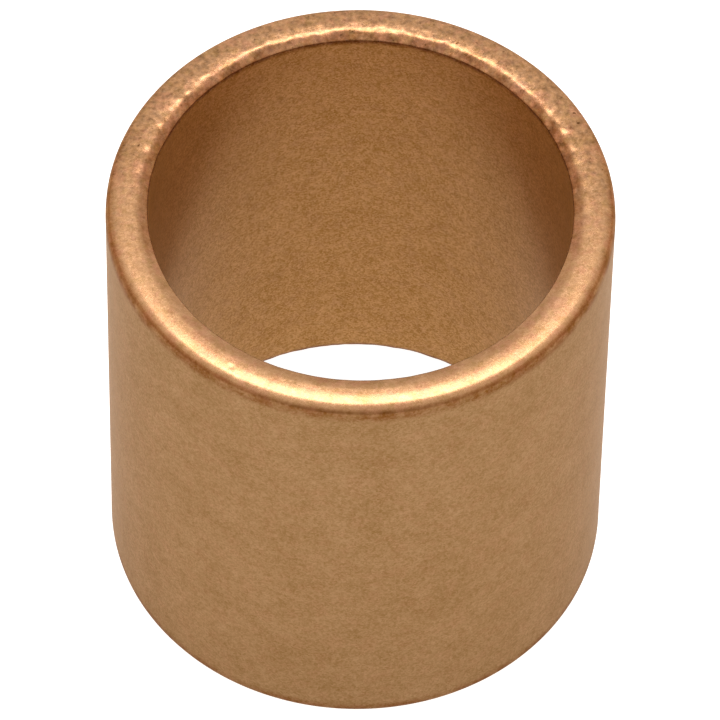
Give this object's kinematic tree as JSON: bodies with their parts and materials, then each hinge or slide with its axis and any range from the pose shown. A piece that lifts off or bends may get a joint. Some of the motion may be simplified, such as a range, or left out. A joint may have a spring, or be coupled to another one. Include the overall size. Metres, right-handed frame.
{
  "type": "sleeve bushing",
  "caption": "Plain sintered bronze sleeve bushing with a smooth bore, a straight outside and small chamfers at both ends.",
  "frame": {"origin": "on the bushing's axis, in the plane of its lower end face", "axes": "+Z along the bore from the lower end face to the upper one; X and Y are equivalent, because the part is round"},
  "size_m": [0.024, 0.024, 0.025],
  "materials": {
    "sintered_bronze": "matte porous sintered bronze, burnished on the end faces and chamfers"
  },
  "bodies": {
    "root": {"sleeve": "sintered_bronze"}
  },
  "joints": []
}
